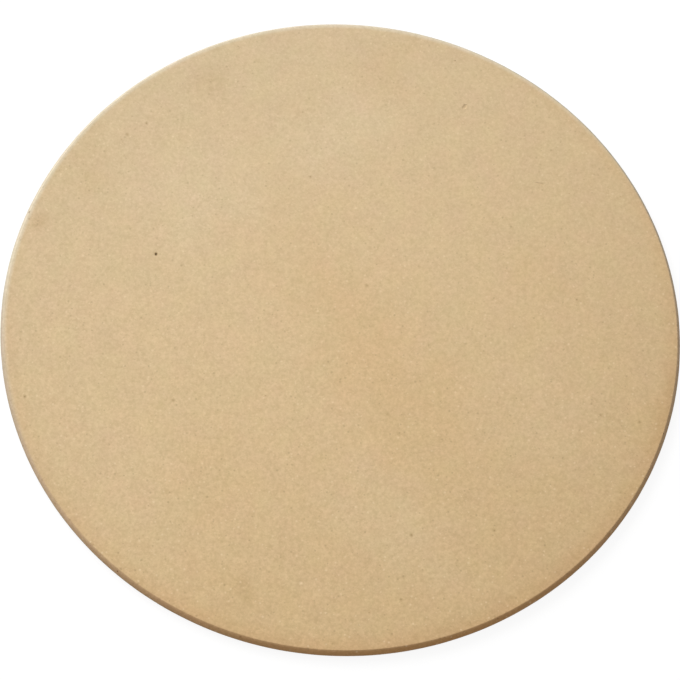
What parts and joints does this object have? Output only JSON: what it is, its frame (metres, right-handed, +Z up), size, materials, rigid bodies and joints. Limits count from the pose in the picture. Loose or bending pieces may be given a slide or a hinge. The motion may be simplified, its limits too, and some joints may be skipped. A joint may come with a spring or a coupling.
{
  "type": "heat deflector plate",
  "caption": "Round flat plate of unglazed cordierite with rounded edges. It lies between a fire and the food to spread the heat, or bakes food on its top face.",
  "frame": {"origin": "middle of the flat underside, on the surface that carries the plate", "axes": "+Z up along the axis of the round plate, from the underside to the top face; X and Y in the plane of the underside"},
  "size_m": [0.381, 0.381, 0.008],
  "materials": {
    "cordierite": "unglazed, matte, fine sandy grain"
  },
  "bodies": {
    "root": {"deflector_plate": "cordierite"}
  },
  "joints": []
}
